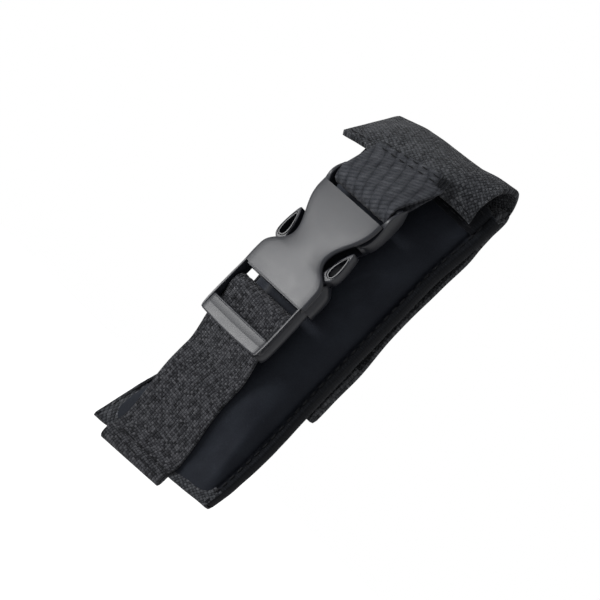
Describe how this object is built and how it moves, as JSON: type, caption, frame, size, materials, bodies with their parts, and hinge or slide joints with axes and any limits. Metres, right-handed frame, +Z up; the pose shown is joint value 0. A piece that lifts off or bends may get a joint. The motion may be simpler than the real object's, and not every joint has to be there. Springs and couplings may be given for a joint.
{
  "type": "flashlight belt pouch",
  "caption": "Upright webbing and cloth belt pouch for a hand flashlight, with a fold-over flap, a side-release buckle strap and a belt flap on its back.",
  "frame": {"origin": "on the outer face of the back panel, in the middle of the belt channel", "axes": "+Z up along the pouch towards its flap, -Y towards the front and its buckle, +X to the right of someone looking at the front"},
  "size_m": [0.052, 0.0355, 0.1424],
  "materials": {
    "flap_webbing": "2 inch nylon webbing, plain weave",
    "strap_webbing": "1 inch ribbed nylon webbing",
    "pouch_cloth": "coated nylon pack cloth",
    "binding_tape": "woven grosgrain tape",
    "thread": "bonded nylon thread",
    "acetal": "moulded acetal, satin",
    "touch_tape": "hook and loop tape"
  },
  "bodies": {
    "pouch": {"back_panel": "flap_webbing", "front_panel": "pouch_cloth", "left_binding": "binding_tape", "right_binding": "binding_tape", "mouth_band": "pouch_cloth", "left_side_stitching": "thread", "right_side_stitching": "thread", "mouth_stitching": "thread", "bottom_stitching": "thread", "strap_anchor": "strap_webbing", "anchor_stitching": "thread", "belt_anchor": "flap_webbing", "belt_stitching": "thread", "loop_tape": "touch_tape"},
    "flap": {"flap_panel": "flap_webbing", "flap_stitching": "thread", "upper_strap": "strap_webbing", "loop_stitching": "thread"},
    "socket": {"buckle_socket": "acetal"},
    "lower_strap": {"lower_strap": "strap_webbing"},
    "plug": {"buckle_plug": "acetal"},
    "left_arm": {"left_arm": "acetal"},
    "right_arm": {"right_arm": "acetal"},
    "belt_flap": {"belt_flap": "flap_webbing", "hook_tape": "touch_tape", "tape_stitching": "thread"}
  },
  "joints": [
    {"name": "flap_open", "type": "hinge", "parent": "pouch", "child": "flap", "pos_m": [0, -0.001, 0.0439], "axis": [-1, 0, 0], "range_deg": [0, 130]},
    {"name": "socket_swing", "type": "hinge", "parent": "flap", "child": "socket", "pos_m": [0, -0.0225, 0.0177], "axis": [-1, 0, 0], "range_deg": [0, 60]},
    {"name": "strap_swing", "type": "hinge", "parent": "pouch", "child": "lower_strap", "pos_m": [-0.00232, -0.01052, -0.0865], "axis": [0.9903, 0.1392, 0], "range_deg": [0, 120]},
    {"name": "plug_adjust", "type": "slide", "parent": "lower_strap", "child": "plug", "axis": [0, 0, -1], "range_m": [0, 0.026], "deforming": ["lower_strap"]},
    {"name": "left_arm_squeeze", "type": "hinge", "parent": "plug", "child": "left_arm", "pos_m": [-0.0086, -0.0225, -0.0235], "axis": [0, 1, 0], "range_deg": [0, 9], "stiffness_Nm_per_rad": 0.2, "deforming": ["left_arm"]},
    {"name": "right_arm_squeeze", "type": "hinge", "parent": "plug", "child": "right_arm", "pos_m": [0.0086, -0.0225, -0.0235], "axis": [0, -1, 0], "range_deg": [0, 9], "stiffness_Nm_per_rad": 0.2, "deforming": ["right_arm"]},
    {"name": "belt_flap_open", "type": "hinge", "parent": "pouch", "child": "belt_flap", "pos_m": [0, 0.00192, 0.026], "axis": [1, 0, 0], "range_deg": [0, 80]}
  ]
}
